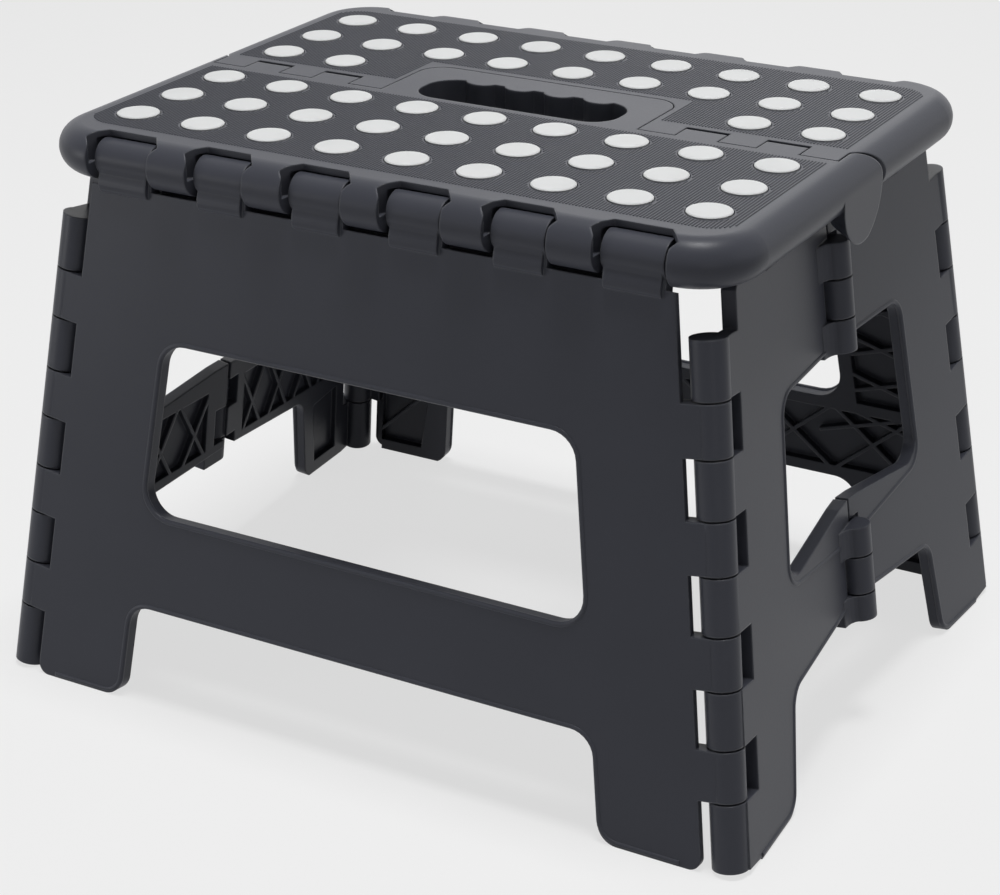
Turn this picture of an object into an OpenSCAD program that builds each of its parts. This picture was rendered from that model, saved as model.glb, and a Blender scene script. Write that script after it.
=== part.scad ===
// Folding stool with a two-part seat, two leg panels and two folding end panels.
// Units are millimetres. The origin is on the floor under the centre of the seat.
// X runs along the long side, Y from front to rear, Z up.
// Depths are measured down from the top of the dots.

/* [Overall size] */
// Height from the floor to the top of the dots
stool_height = 220; // [205:1:240]
// Half the length of the seat
seat_half_length = 141.5; // [141:0.5:143]
// Half the width of the seat
seat_half_width = 108.5; // [108:0.25:109.5]
// Outward slope of the leg panels, sideways per unit of depth
leg_lean = 0.116; // [0.1:0.002:0.125]
// Outward slope of the end panels, sideways per unit of depth
end_lean = 0.133; // [0.12:0.001:0.14]

/* [Seat] */
// Thickness of the seat rim, from the underside to the top surface
rim_thickness = 18; // [17:0.5:18.5]
// Corner radius of the seat seen from above
seat_corner_radius = 25; // [20:1:32]
// Thickness of the top skin of the seat
top_skin = 3; // [2:0.25:3.5]
// Thickness of the ribs under the seat
seat_rib = 2; // [1.2:0.2:3]
// Half the width of the handle tongue
tongue_half_width = 54.4; // [50:0.2:54.4]
// Distance from the seat centre to the rear edge of the tongue
tongue_reach = 33; // [31:0.5:38]
// Thickness of the tongue
tongue_thickness = 9; // [7:0.5:10]
// Half the length of the hand slot
slot_half_length = 42.3; // [38:0.1:43]
// Height that the dots stand out of the seat
dot_height = 0.8; // [0.4:0.1:1.2]
// Diameter of the dots
dot_diameter = 16.5; // [12:0.5:18]
// Distance between the dot columns
dot_pitch = 29.13; // [27:0.1:29.5]
// Distance between the dot rows
dot_row_pitch = 27.5; // [26:0.25:28]
// Depth of the pocket that each dot sits in
dot_pocket = 0.8; // [0.4:0.1:1.2]

/* [Leg panels] */
// Thickness of the leg panels
leg_thickness = 6; // [5:0.25:6.2]
// Depth of the pockets between the ribs on the inside
rib_depth = 3.2; // [2:0.1:3.4]
// Width of the ribs on the inside
rib_width = 1.6; // [1.4:0.2:3]
// Distance between the crossed ribs of the leg panels
rib_pitch = 36; // [26:1:40]
// Depth of the top edge of the leg window
window_top = 74; // [70:1:80]
// Height of the bottom edge of the leg window above the floor
window_bottom = 77; // [72:1:84]
// Height of the arch between the feet above the floor
arch_height = 40; // [34:1:46]
// Corner radius of the leg window
window_radius = 11; // [6:1:14]
// Width of the leg panel beside its window and its arch
leg_side = 39.8; // [36:0.2:44]
// Radius of the inner corners of the feet
foot_radius = 8; // [4:0.5:10]

/* [End panels] */
// Thickness of the end panels
end_thickness = 5.4; // [4.5:0.1:5.6]
// Depth of the pockets on the inside of the end panels
end_rib_depth = 2.6; // [1.8:0.1:3]
// Depth of the top edge of the end panels
end_top = 24; // [23.5:0.5:26]
// Corner radius of the cut-outs in the end panels
cutout_radius = 9; // [5:1:11]

/* [Hinges] */
// Radius of the corner hinge barrels
corner_barrel = 6.6; // [6:0.1:6.6]
// Radius of the barrels in the middle of the end panels
mid_barrel = 6; // [5:0.1:6]
// Radius of the hinge pins
pin_radius = 2; // [1.5:0.1:2.2]
// Radius of the pins along the seat edges
edge_pin_radius = 2.5; // [2:0.1:3]
// Radial clearance of the pins in their bores
pin_clearance = 0.05; // [0.02:0.01:0.1]
// Gap between neighbouring hinge barrels
knuckle_gap = 0.7; // [0.6:0.05:1.2]
// Radius of the hooks around the edge pins
hook_radius = 7; // [6:0.1:7]
// Gap beside each hook
hook_gap = 2; // [1.2:0.2:3]

/* [Hidden] */
$fn = 48;
cut = 1;
seat_z = stool_height - dot_height;
rim_radius = rim_thickness / 2;
under_z = seat_z - rim_thickness;
rim_z = seat_z - rim_radius;
rim_x = seat_half_length - rim_radius;
rim_y = seat_half_width - rim_radius;
roll_bend = seat_corner_radius - rim_radius;

// Hinge axes. The edge axes run along X at each long side of the seat.
edge_y = seat_half_width - 10;
edge_z = stool_height - 10.5;
centre_z = stool_height - 14.5;
corner_x = seat_half_length - 17.9;
corner_y = edge_y - 3.55;
mid_x = corner_x + 2.5;
leg_offset = 6.59;
leg_y = corner_y + leg_offset;
lean_angle = atan(leg_lean);
end_yaw = atan(0.0563);
end_face_x = corner_x + 0.5;
end_tilt = atan(end_lean * cos(end_yaw));
notch_margin = 8.26;

// Corner hinge rows. Tabs belong to the leg panels, barrels to the end panels.
corner_start = 34.5;
first_tab = 55.6;
last_barrel = 25.2;
corner_pitch = (stool_height - last_barrel - first_tab) / 3.5;
tab_length = corner_pitch / 2 - 1.5;

// Middle hinge rows, upper and lower group, each start and end depth.
mid_rows = [[31, 45], [45, 60], [60, 73]];
low_rows = [for (r = [[-80, -68], [-68, -53], [-53, -42]]) [stool_height + r[0], stool_height + r[1]]];

// Hooks along each seat edge and fingers along the centre hinge, right side.
hooks = [[9.4, 30.4], [50.4, 70.8], [91.5, 114.6]];
ear_x = seat_half_length - 8.2;
front_fingers = [[ear_x - 63.4, ear_x - 47], [ear_x - 31.4, ear_x - 15.5]];
rear_fingers = [
  [tongue_half_width + 0.5, ear_x - 63.9], [ear_x - 46.5, ear_x - 31.9], [ear_x - 15, ear_x - 0.4]
];
ear_drop = 30;
ear_span = 60;
hollow_end = 20;
centre_bore_start = tongue_half_width - 4.4;
edge_pin_end = seat_half_length - 15.5;
front_line = -5.3;
rear_line = 6;
finger_reach = 3.8;
rear_reach = -4.8;
rear_play = 2.95;
rear_play_y = 0.84;
rear_play_z = -0.9;
rear_barrel = 7.3;

panel_colour = [0.23, 0.23, 0.25];
dot_colour = [0.9, 0.9, 0.9];
pin_colour = [0.5, 0.5, 0.52];

// Unit vector from a to b, in the plane.
function toward(a, b) = (b - a) / norm(b - a);

// Tangent length of a fillet of radius r at corner p between a and b.
function tangent(a, p, b, r) = r / tan(acos(toward(p, a) * toward(p, b)) / 2);

// Centre of that fillet.
function fillet_centre(a, p, b, r) =
  p + toward([0, 0], toward(p, a) + toward(p, b)) * r / sin(acos(toward(p, a) * toward(p, b)) / 2);

// Convex outline with a radius at each corner; a radius of 0 keeps the corner.
module rounded(points, radii) {
  n = len(points);
  polygon([
    for (i = [0 : n - 1])
      let (p = points[i], a = points[(i + n - 1) % n], b = points[(i + 1) % n], r = radii[i])
        each r > 0
          ? [p + toward(p, a) * tangent(a, p, b, r), p + toward(p, b) * tangent(a, p, b, r)]
          : [p]
  ]);
  for (i = [0 : n - 1])
    if (radii[i] > 0)
      translate(fillet_centre(points[(i + n - 1) % n], points[i], points[(i + 1) % n], radii[i]))
        circle(r = radii[i]);
}

// Sharp tip of the corner p between a and b; taking it off leaves the radius r.
module corner_tip(a, p, b, r) {
  u = toward(p, a);
  v = toward(p, b);
  span = tangent(a, p, b, r);
  difference() {
    polygon([
      p + span * u, p + span * u - v, p - u - v, p + span * v - u, p + span * v,
      fillet_centre(a, p, b, r)
    ]);
    translate(fillet_centre(a, p, b, r))
      circle(r = r);
  }
}

// Round bar between two points.
module rod(a, b, r) {
  d = b - a;
  translate(a)
    rotate([0, acos(d[2] / norm(d)), atan2(d[1], d[0])])
      cylinder(h = norm(d), r = r);
}

// Strip of the given width between two points, in the plane.
module strip(a, b, w) {
  d = b - a;
  translate(a)
    rotate([0, 0, atan2(d[1], d[0])])
      translate([0, -w / 2])
        square([norm(d), w]);
}

// Bar along X with its centre line at the given Y and Z.
module bar_x(x0, x1, y, z, r) {
  translate([x0, y, z])
    rotate([0, 90, 0])
      cylinder(h = x1 - x0, r = r);
}

// A (Y, Z) outline extruded along X from x0 to x1.
module profile_x(x0, x1) {
  translate([x0, 0, 0])
    rotate([90, 0, 90])
      linear_extrude(height = x1 - x0)
        children();
}

// The shape and its mirror image on the left.
module both_sides() {
  children();
  mirror([1, 0, 0])
    children();
}

// Removes what would reach below the floor.
module floor_cut() {
  translate([-250, -250, -30])
    cube([500, 500, 30]);
}

// Points on the hinge axes at a depth; the corner is the front right one.
function corner_at(depth) =
  [corner_x + end_lean * depth, -(corner_y + leg_lean * depth), stool_height - depth];
function mid_at(depth) = [mid_x + end_lean * depth, 0, stool_height - depth];

// Start depth of a leg tab, counted from 0 at the top.
function tab_start(i) = first_tab + i * corner_pitch;

// Barrels of the end panels on the corner axis, start and end depth.
function barrel_rows() = [
  [corner_start, first_tab - knuckle_gap],
  for (i = [0 : 2]) [tab_start(i) + tab_length + knuckle_gap, tab_start(i + 1) - knuckle_gap],
  [tab_start(3) + tab_length + knuckle_gap, stool_height - 1.2]
];

// Point p in the plane of the leg panel, and the point on its outer face at a depth.
function in_leg(p) = [p[0], (p[1] + leg_y) * sin(lean_angle) + (p[2] - stool_height) * cos(lean_angle)];
function on_leg(x, depth) = in_leg([x, -leg_y - leg_lean * depth, stool_height - depth]);

// Half the width of the leg panel beside the end barrels.
function leg_edge(depth) = corner_x - notch_margin + end_lean * depth;

// Half the width of its window and its arch.
function leg_inner(depth) = leg_edge(depth) - leg_side;

// Moves a leg outline into its place; z is the outward direction.
module leg_place() {
  translate([0, -leg_y, stool_height])
    rotate([90 - lean_angle, 0, 0])
      children();
}

function leg_quad(x_top, depth_top, x_bottom, depth_bottom) = [
  on_leg(-x_top, depth_top), on_leg(x_top, depth_top),
  on_leg(x_bottom, depth_bottom), on_leg(-x_bottom, depth_bottom)
];

module leg_window() {
  bottom = stool_height - window_bottom;
  rounded(
    leg_quad(leg_inner(window_top), window_top, leg_inner(bottom), bottom),
    [for (i = [0 : 3]) window_radius]
  );
}

module leg_arch() {
  top = stool_height - arch_height;
  low = stool_height + 4;
  rounded(leg_quad(leg_inner(top), top, leg_inner(low), low), [10, 10, 0, 0]);
  both_sides()
    corner_tip(
      on_leg(leg_inner(top), top), on_leg(leg_inner(stool_height), stool_height),
      on_leg(leg_edge(stool_height), stool_height), foot_radius
    );
}

module leg_outline() {
  difference() {
    rounded(leg_quad(leg_edge(14), 14, leg_edge(stool_height), stool_height), [0, 0, 4.5, 4.5]);
    leg_window();
    leg_arch();
  }
}

// Areas that are cut back on the inside, leaving a frame and crossed ribs.
module leg_pockets() {
  bottom = stool_height - window_bottom;
  arch = stool_height - arch_height;
  difference() {
    union() {
      polygon(leg_quad(leg_edge(30) - 6, 30, leg_edge(68) - 6, window_top - 5));
      polygon(leg_quad(leg_edge(bottom) - 6, bottom + 5, leg_edge(arch) - 6, arch - 5));
      both_sides()
        polygon([
          on_leg(leg_inner(window_top) + 6, window_top), on_leg(leg_edge(window_top) - 6, window_top),
          on_leg(leg_edge(bottom) - 6, bottom), on_leg(leg_inner(bottom) + 6, bottom)
        ]);
      both_sides()
        polygon([
          on_leg(110, arch + 3), on_leg(leg_edge(arch) - 5, arch + 3),
          on_leg(leg_edge(stool_height) - 6, stool_height - 6), on_leg(117, stool_height - 6)
        ]);
    }
    for (i = [-3 : 3]) {
      left = (i - 0.5) * rib_pitch;
      right = (i + 0.5) * rib_pitch;
      strip(on_leg(left, 28), on_leg(right, window_top - 3), rib_width);
      strip(on_leg(right, 28), on_leg(left, window_top - 3), rib_width);
      strip(on_leg(left, bottom + 3), on_leg(right, arch - 3), rib_width);
      strip(on_leg(right, bottom + 3), on_leg(left, arch - 3), rib_width);
    }
    both_sides()
      for (d = [window_top : 17 : bottom]) {
        strip(on_leg(84, d), on_leg(138, d + 17), rib_width);
        strip(on_leg(138, d), on_leg(84, d + 17), rib_width);
      }
    both_sides()
      strip(on_leg(110, arch + 3), on_leg(142, stool_height - 8), rib_width);
    strip(on_leg(-118, bottom + 1), on_leg(118, bottom + 1), rib_width);
  }
}

// Thinner edge of the leg panel beside the end barrels.
module leg_thin_edge() {
  both_sides()
    polygon([
      on_leg(leg_edge(0) - 5.2, 0), on_leg(leg_edge(0) + 3, 0),
      on_leg(leg_edge(stool_height) + 3, stool_height), on_leg(leg_edge(stool_height) - 5.2, stool_height)
    ]);
}

// Web of a tab between two distances from the hinge axis, clear of the bore.
module leg_web(top, bottom, near, far, thickness) {
  a = in_leg(corner_at(top));
  b = in_leg(corner_at(bottom));
  inward = [toward(a, b)[1], -toward(a, b)[0]];
  leg_place()
    translate([0, 0, -thickness])
      linear_extrude(height = thickness)
        polygon([a + near * inward, b + near * inward, b + far * inward, a + far * inward]);
}

// Tab of the leg panel that wraps the corner pin.
module leg_tab(i, play) {
  top = tab_start(i);
  bottom = top + tab_length;
  difference() {
    union() {
      leg_web(top, bottom, 2.7, notch_margin + 3, leg_thickness);
      leg_web(top, bottom, 1.2, 3, 3.8);
      rod(corner_at(top), corner_at(bottom), corner_barrel);
    }
    rod(corner_at(top - 2), corner_at(bottom + 2), pin_radius + play);
  }
}

// Y of the outer face of the front leg panel at a depth.
function leg_face(depth) = -leg_y - leg_lean * depth;

// Hook over the edge pin, with the flap that hangs over the outer face.
module hook(x0, x1) {
  top = edge_y + hook_radius;
  low = stool_height - 27;
  profile_x(x0, x1) {
    translate([-edge_y, edge_z])
      circle(r = hook_radius);
    polygon([
      [leg_face(27) + 0.1, low], [leg_face(11) + 0.1, edge_z - 0.5],
      [leg_face(11) + leg_thickness - 0.3, edge_z - 0.5], [leg_face(27) + leg_thickness - 0.3, low]
    ]);
  }
  profile_x(x0 + 1, x1 - 1)
    polygon([
      [-edge_y - 5, edge_z + 0.5], [-top + 0.45, edge_z - 2.4], [-top + 0.75, edge_z - 4.6],
      [-top - 0.05, edge_z - 7], [-top - 0.3, edge_z - 8.8], [-top - 0.1, edge_z - 10.4],
      [-top + 0.6, edge_z - 11.5], [-top + 1.5, edge_z - 12], [-edge_y - 4.2, edge_z - 12],
      [-edge_y - 4.2, edge_z - 6]
    ]);
}

module leg(rear_left_play) {
  difference() {
    union() {
      difference() {
        leg_place()
          difference() {
            translate([0, 0, -leg_thickness])
              linear_extrude(height = leg_thickness)
                leg_outline();
            translate([0, 0, -leg_thickness - cut])
              linear_extrude(height = rib_depth + cut) {
                leg_pockets();
                leg_thin_edge();
              }
          }
        bar_x(-150, 150, -edge_y, edge_z, 10.4);
        translate([-150, -leg_y - 20, edge_z - 4])
          cube([300, 60, 30]);
      }
      for (i = [0 : 3]) {
        leg_tab(i, pin_clearance);
        mirror([1, 0, 0])
          leg_tab(i, rear_left_play);
      }
      for (h = hooks)
        both_sides()
          hook(h[0], h[1]);
    }
    bar_x(-150, 150, -edge_y, edge_z, edge_pin_radius + pin_clearance);
    floor_cut();
  }
}

module leg_front() {
  color(panel_colour)
    leg(pin_clearance);
}

// The left corner hinge of the rear leg is the open pivot of the frame.
module leg_rear() {
  color(panel_colour)
    mirror([0, 1, 0])
      leg(0.45);
}

// Point p in the plane of the front half of the right end panel.
function in_end(p) = let (q = p - [end_face_x, 0, stool_height]) [
  q[1] * cos(end_yaw) - q[0] * sin(end_yaw),
  q[2] * cos(end_tilt) - (q[0] * cos(end_yaw) + q[1] * sin(end_yaw)) * sin(end_tilt)
];

// Point on the outer face of that half; y is the distance from the middle.
function on_end(y, depth) =
  in_end([end_face_x + tan(end_yaw) * y + end_lean * depth, -y, stool_height - depth]);

// Distance from the middle to the edge of the end face.
function face_edge(depth) = corner_y - 10.88 + 0.115 * depth;

// Moves an end outline into its place; the children face along X.
module end_place() {
  translate([end_face_x, 0, stool_height])
    rotate([0, 0, end_yaw])
      rotate([0, -end_tilt, 0])
        rotate([90, 0, 90])
          children();
}

module end_outline() {
  difference() {
    polygon([
      on_end(0.6, end_top), on_end(60, end_top), on_end(64, end_top - 3.5),
      on_end(face_edge(end_top) - 1, end_top - 3.5), on_end(face_edge(end_top), end_top - 2),
      on_end(face_edge(stool_height), stool_height + 3),
      on_end(60, stool_height + 3), on_end(0.6, stool_height - 30)
    ]);
    end_window();
    end_arch();
  }
}

module end_window() {
  bottom = stool_height - 81;
  rounded([
    on_end(-8, 71), on_end(55, 71), on_end(62.8, bottom), on_end(9, bottom - 7), on_end(-8, bottom - 8)
  ], [0, cutout_radius, cutout_radius, 0, 0]);
}

module end_arch() {
  rounded([
    on_end(-8, stool_height - 49.5), on_end(67, stool_height - 43.5),
    on_end(76, stool_height + 4), on_end(-8, stool_height + 4)
  ], [0, cutout_radius, 0, 0]);
  corner_tip(
    on_end(67, stool_height - 43.5), on_end(67 + 9 * 43.5 / 47.5, stool_height),
    on_end(face_edge(stool_height), stool_height), foot_radius
  );
}

module end_pockets() {
  bottom = stool_height - 81;
  low = stool_height - 43.5;
  difference() {
    union() {
      polygon([on_end(13, end_top + 4), on_end(81, end_top + 4), on_end(83, 67), on_end(13, 67)]);
      polygon([on_end(60, 76), on_end(85, 76), on_end(91, bottom), on_end(67, bottom)]);
      polygon([
        on_end(13, bottom + 2), on_end(92, bottom + 4), on_end(96, low - 4), on_end(13, low - 8)
      ]);
      polygon([
        on_end(77, low + 6), on_end(98, low + 4), on_end(101, stool_height - 7), on_end(82, stool_height - 7)
      ]);
    }
    for (i = [0 : 3]) {
      strip(on_end(10 + 19 * i, end_top + 2), on_end(29 + 19 * i, 70), rib_width);
      strip(on_end(29 + 19 * i, end_top + 2), on_end(10 + 19 * i, 70), rib_width);
      strip(on_end(10 + 22 * i, bottom), on_end(32 + 22 * i, low), rib_width);
      strip(on_end(32 + 22 * i, bottom), on_end(10 + 22 * i, low), rib_width);
    }
    for (d = [76 : 21 : bottom - 20]) {
      strip(on_end(56, d), on_end(94, d + 21), rib_width);
      strip(on_end(94, d), on_end(60, d + 21), rib_width);
    }
  }
}

// Notch beside a barrel of the other half.
module mid_notch(row) {
  end_place()
    translate([0, 0, -20])
      linear_extrude(height = 40)
        polygon([
          on_end(-20, row[0] - knuckle_gap), on_end(7.4, row[0] - knuckle_gap),
          on_end(7.4, row[1] + knuckle_gap), on_end(-20, row[1] + knuckle_gap)
        ]);
}

// Barrel of the middle hinge with the web that runs into the panel.
module mid_knuckle(row) {
  half = knuckle_gap / 2;
  a = mid_at(row[1] - half);
  b = mid_at(row[0] + half);
  rod(a, b, mid_barrel);
  translate(a)
    rotate([0, -atan(end_lean), 0])
      linear_extrude(height = norm(b - a))
        polygon([
          [-6, 0], [2.2, -5.2], [0.4, -6.6], [-0.5, -8.2], [-0.9, -10], [-1.1, -12.5], [-6, -12.5]
        ]);
}

// Barrel on the corner axis with its web to the panel.
module corner_knuckle(row) {
  a = in_end(corner_at(row[0]));
  b = in_end(corner_at(row[1]));
  inward = 15 * [-toward(a, b)[1], toward(a, b)[0]];
  rod(corner_at(row[1]), corner_at(row[0]), corner_barrel);
  end_place()
    translate([0, 0, -end_thickness])
      linear_extrude(height = end_thickness)
        polygon([a, b, b + inward, a + inward]);
}

// One half of the right end panel, drawn as the front half.
module end_half(own, other) {
  difference() {
    union() {
      difference() {
        end_place() {
          translate([0, 0, -end_thickness])
            linear_extrude(height = end_thickness)
              end_outline();
        }
        end_place()
          translate([0, 0, -end_thickness - cut])
            linear_extrude(height = end_rib_depth + cut)
              end_pockets();
        for (row = other)
          mid_notch(row);
      }
      for (row = own)
        mid_knuckle(row);
      for (row = barrel_rows())
        corner_knuckle(row);
    }
    rod(mid_at(mid_rows[0][0] + 2.6), mid_at(mid_rows[2][1] - 1.6), pin_radius + pin_clearance);
    rod(mid_at(low_rows[0][0] + 2.6), mid_at(low_rows[2][1] - 1.6), pin_radius + pin_clearance);
    rod(corner_at(corner_start + 2.6), corner_at(stool_height - 3.6), pin_radius + pin_clearance);
    floor_cut();
  }
}

module front_half_end() {
  end_half([mid_rows[0], mid_rows[2], low_rows[0], low_rows[2]], [mid_rows[1], low_rows[1]]);
}

module rear_half_end() {
  mirror([0, 1, 0])
    end_half([mid_rows[1], low_rows[1]], [mid_rows[0], mid_rows[2], low_rows[0], low_rows[2]]);
}

module right_end_front() {
  color(panel_colour)
    front_half_end();
}

module right_end_rear() {
  color(panel_colour)
    rear_half_end();
}

module left_end_front() {
  color(panel_colour)
    mirror([1, 0, 0])
      front_half_end();
}

module left_end_rear() {
  color(panel_colour)
    mirror([1, 0, 0])
      rear_half_end();
}

// Section of the seat edge: a slab that ends in a full round.
module rim_section() {
  square([roll_bend, rim_thickness]);
  translate([roll_bend, rim_radius])
    circle(r = rim_radius);
}

// Front half of the seat without its openings, up to the given line.
module seat_slab(line) {
  translate([-rim_x + roll_bend, -rim_y + roll_bend, under_z]) {
    rotate([90, 0, 90])
      linear_extrude(height = 2 * (rim_x - roll_bend))
        mirror([1, 0])
          rim_section();
    cube([2 * (rim_x - roll_bend), line + rim_y - roll_bend, rim_thickness]);
  }
  both_sides() {
    translate([rim_x - roll_bend, line, under_z])
      rotate([90, 0, 0])
        linear_extrude(height = line + rim_y - roll_bend)
          rim_section();
    translate([rim_x - roll_bend, -rim_y + roll_bend, under_z])
      rotate([0, 0, -90])
        rotate_extrude(angle = 90)
          rim_section();
  }
}

// Hollow under the top skin, from the front wall to the given line.
module seat_hollow(line) {
  translate([0, 0, under_z - cut])
    linear_extrude(height = rim_thickness - top_skin + cut)
      rounded([
        [-rim_x + rim_radius, 10 - edge_y], [rim_x - rim_radius, 10 - edge_y],
        [rim_x - rim_radius, line], [-rim_x + rim_radius, line]
      ], [12, 12, 4, 4]);
}

module seat_ribs(line, depth) {
  for (x = [-98 : 28 : 98])
    translate([x - seat_rib / 2, 9.5 - edge_y, seat_z - top_skin - depth])
      cube([seat_rib, edge_y - 9 + line, depth + 0.5]);
  translate([-rim_x + rim_radius - 1, -58, seat_z - top_skin - depth])
    cube([2 * (rim_x - rim_radius + 1), seat_rib, depth + 0.5]);
}

// Clears the hooks at the seat edge. The top of each slot narrows to the rear.
module hook_slots() {
  front = -seat_half_width - cut;
  for (h = hooks)
    both_sides() {
      translate([h[0] - hook_gap, front, under_z - 10])
        cube([h[1] - h[0] + 2 * hook_gap, hook_radius + 0.5 - edge_y - front, edge_z - under_z + 10]);
      bar_x(h[0] - hook_gap, h[1] + hook_gap, -edge_y, edge_z, hook_radius + 0.5);
      translate([0, 0, edge_z - 1])
        linear_extrude(height = 20)
          polygon([
            [h[0] - hook_gap, front], [h[0] - hook_gap, -edge_y - 8], [h[0] - 4.2, -edge_y - 5.5],
            [h[0] + 1, -edge_y + 1.5], [h[1] - 1, -edge_y + 1.5], [h[1] + 4.2, -edge_y - 5.5],
            [h[1] + hook_gap, -edge_y - 8], [h[1] + hook_gap, front]
          ]);
    }
}

// Low lip behind the top edge of the leg panel, between the outer hooks.
module seat_lip() {
  translate([-hooks[2][0], -edge_y + 1.3, under_z - 2.6])
    cube([2 * hooks[2][0], 2.5, 3.1]);
}

// Cuts back the underside near the centre so that the halves can fold together.
module fold_relief() {
  profile_x(-170, 170)
    polygon([
      [14, centre_z + 1.7], [0, centre_z + 1.7], [-30, centre_z - 5.06], [-30, centre_z - 20],
      [14, centre_z - 20]
    ]);
}

module finger(x0, x1, y0, y1) {
  translate([x0, y0, centre_z + 1.7])
    cube([x1 - x0, y1 - y0, seat_z - centre_z - 1.7]);
}

module dot_places(rows, short_row) {
  for (row = rows)
    for (i = [-4 : 4])
      translate([i * dot_pitch, -20.7 - row * dot_row_pitch, seat_z])
        children();
  if (short_row)
    for (i = [-4, -3, 3, 4])
      translate([i * dot_pitch, -20.7, seat_z])
        children();
}

module dots(rows, short_row) {
  dot_places(rows, short_row)
    translate([0, 0, 0.02 - dot_pocket])
      cylinder(h = dot_pocket + dot_height - 0.02, d = dot_diameter);
}

module dot_pockets(rows, short_row) {
  dot_places(rows, short_row)
    translate([0, 0, -dot_pocket])
      cylinder(h = dot_pocket + cut, d = dot_diameter + 0.1);
}

// Handle tongue that reaches over the centre hinge.
module tongue() {
  translate([0, 0, seat_z - tongue_thickness])
    linear_extrude(height = tongue_thickness)
      rounded([
        [-tongue_half_width, -20], [tongue_half_width, -20],
        [tongue_half_width, tongue_reach], [-tongue_half_width, tongue_reach]
      ], [0, 0, 10, 10]);
}

// Hand slot with a wave for each finger along its rear side.
module hand_slot() {
  translate([0, 0, under_z - cut])
    linear_extrude(height = rim_thickness + 2 * cut)
      difference() {
        rounded([
          [-slot_half_length, -6], [slot_half_length, -6], [slot_half_length, 20.5],
          [-slot_half_length, 20.5]
        ], [11, 11, 12, 12]);
        for (i = [-1.5 : 1 : 1.5])
          translate([i * 17, 24.3])
            circle(r = 7.4);
      }
}

// Cone around the centre axis that bounds the ear, with extra play.
module ear_cone(play) {
  translate([ear_x - play, 0, centre_z])
    rotate([0, 90, 0])
      cylinder(h = seat_half_length - ear_x + 2 * play, r1 = 14.5, r2 = 19 + 1.5 * play);
}

// Ear of the front half that covers the end of the centre hinge.
// Its lower part has less radius, so that it clears the rear half in the fold.
module ear() {
  intersection() {
    ear_cone(0.1);
    translate([0, -2.6, 1.5])
      ear_cone(0.1);
    translate([0, 0.4, 2.6])
      ear_cone(0.1);
    translate([0, ear_span, 0])
      rotate([90, 0, 0])
        linear_extrude(height = 2 * ear_span) {
          translate([ear_x, centre_z - ear_drop])
            square([seat_half_length - ear_x, rim_z - centre_z + ear_drop]);
          translate([rim_x, rim_z])
            circle(r = rim_radius);
        }
  }
}

module seat_front() {
  color(panel_colour)
    difference() {
      union() {
        difference() {
          union() {
            seat_slab(front_line);
            tongue();
          }
          seat_hollow(-hollow_end);
          fold_relief();
          hook_slots();
          for (f = rear_fingers)
            both_sides()
              bar_x(f[0] - 0.5, f[1] + 0.45, 0, centre_z, 10.3);
          dot_pockets([0, 1, 2], false);
        }
        seat_lip();
        seat_ribs(-hollow_end, 10);
        for (f = front_fingers)
          both_sides() {
            finger(f[0], f[1], -12, finger_reach);
            bar_x(f[0], f[1], 0, centre_z, 6);
          }
        both_sides()
          ear();
      }
      both_sides()
        bar_x(centre_bore_start, ear_x + 4.5, 0, centre_z, pin_radius + pin_clearance);
      bar_x(-edge_pin_end - 0.3, edge_pin_end + 0.3, -edge_y, edge_z, edge_pin_radius + pin_clearance);
      hand_slot();
    }
}

module seat_rear() {
  color(panel_colour)
    difference() {
      union() {
        mirror([0, 1, 0])
          difference() {
            seat_slab(-rear_line);
            seat_hollow(-hollow_end);
            fold_relief();
            hook_slots();
            for (f = front_fingers)
              both_sides()
                bar_x(f[0] - 0.4, f[1] + 0.45, 0, centre_z, 9.3);
            dot_pockets([1, 2], true);
          }
        mirror([0, 1, 0]) {
          seat_lip();
          seat_ribs(-hollow_end, 10);
        }
        translate([-tongue_half_width - 4, tongue_reach, seat_z - 12])
          cube([2 * tongue_half_width + 8, 4.5, 12 - top_skin / 2]);
        both_sides()
          translate([tongue_half_width + 0.5, 6, centre_z + 2])
            cube([4, tongue_reach - 2, seat_z - centre_z - 3]);
        for (f = rear_fingers)
          both_sides() {
            finger(f[0], f[1], rear_reach, 12);
            bar_x(f[0], f[1], rear_play_y, centre_z + rear_play_z, rear_barrel);
          }
      }
      translate([0, 0, under_z - 10])
        linear_extrude(height = 40)
          rounded([
            [-tongue_half_width - 0.5, -20], [tongue_half_width + 0.5, -20],
            [tongue_half_width + 0.5, tongue_reach + 0.5], [-tongue_half_width - 0.5, tongue_reach + 0.5]
          ], [0, 0, 10.5, 10.5]);
      both_sides() {
        bar_x(
          centre_bore_start, ear_x + 0.7, rear_play_y, centre_z + rear_play_z,
          pin_radius + rear_play + 0.3
        );
        ear_cone(0.8);
      }
      bar_x(-edge_pin_end - 0.3, edge_pin_end + 0.3, edge_y, edge_z, edge_pin_radius + pin_clearance);
    }
}

module seat_front_dots() {
  color(dot_colour)
    dots([0, 1, 2], false);
}

module seat_rear_dots() {
  color(dot_colour)
    mirror([0, 1, 0])
      dots([1, 2], true);
}

module front_edge_pin() {
  color(pin_colour)
    bar_x(-edge_pin_end, edge_pin_end, -edge_y, edge_z, edge_pin_radius);
}

module rear_edge_pin() {
  color(pin_colour)
    bar_x(-edge_pin_end, edge_pin_end, edge_y, edge_z, edge_pin_radius);
}

module centre_pin_right() {
  color(pin_colour)
    bar_x(rear_fingers[0][0] + 1, ear_x + 4, 0, centre_z, pin_radius);
}

module centre_pin_left() {
  mirror([1, 0, 0])
    centre_pin_right();
}

module front_right_corner_pin() {
  color(pin_colour)
    rod(corner_at(stool_height - 4), corner_at(corner_start + 3), pin_radius);
}

module front_left_corner_pin() {
  mirror([1, 0, 0])
    front_right_corner_pin();
}

module rear_right_corner_pin() {
  mirror([0, 1, 0])
    front_right_corner_pin();
}

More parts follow.
